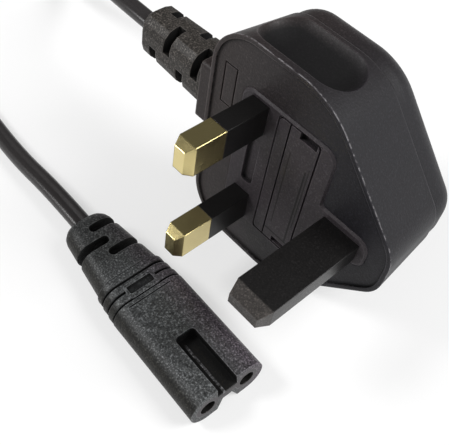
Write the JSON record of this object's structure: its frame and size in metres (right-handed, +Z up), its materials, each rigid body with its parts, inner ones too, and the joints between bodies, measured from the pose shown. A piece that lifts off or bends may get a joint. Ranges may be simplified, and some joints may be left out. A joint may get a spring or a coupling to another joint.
{
  "type": "figure eight power connector",
  "caption": "Two-pole figure eight mains connector moulded on a flat twin lead, with a fused three-pin plug on the lead's far end and the spare length coiled and tied.",
  "frame": {"origin": "on the surface the part lies on, under the middle of the connector's length and width", "axes": "+X the way the connector's mouth looks, +Z up, +Y across the connector towards the side where the plug lies"},
  "size_m": [0.205, 0.0579, 0.0485],
  "materials": {
    "connector_pvc": "fine spark-eroded texture, dark charcoal",
    "connector_insert": "smooth satin, dark grey",
    "lead_pvc": "smooth satin, black",
    "tie_wire": "satin, black",
    "plug_pvc": "fine matte texture, black",
    "plug_insert": "satin, black",
    "pin_sleeve": "satin, black",
    "pin_brass": "drawn and polished",
    "clip_brass": "rolled",
    "fuse_ceramic": "glazed ceramic, off-white",
    "fuse_cap": "nickel plate",
    "core_brown": "satin, brown",
    "core_blue": "satin, blue"
  },
  "bodies": {
    "lead": {"connector_shell": "connector_pvc", "contact_block": "connector_insert", "socket_contact_left": "clip_brass", "socket_contact_right": "clip_brass", "connector_core_left": "core_brown", "connector_core_right": "core_blue", "cord_near_connector": "lead_pvc", "cord_coil": "lead_pvc", "cord_tie": "tie_wire", "cord_near_plug": "lead_pvc", "plug_shell": "plug_pvc", "plug_bridge": "plug_insert", "live_pin": "pin_brass", "neutral_pin": "pin_brass", "live_pin_sleeve": "pin_sleeve", "neutral_pin_sleeve": "pin_sleeve", "earth_pin": "plug_insert", "fuse_clip_live": "clip_brass", "fuse_clip_load": "clip_brass", "plug_core_live": "core_brown", "plug_core_neutral": "core_blue"},
    "fuse_drawer": {"fuse_carrier": "plug_insert", "fuse_barrel": "fuse_ceramic", "fuse_cap_live": "fuse_cap", "fuse_cap_load": "fuse_cap"}
  },
  "joints": [
    {"name": "fuse_drawer_slide", "type": "slide", "parent": "lead", "child": "fuse_drawer", "axis": [0.0701, -0.993, 0.0951], "range_m": [0, 0.009]}
  ]
}
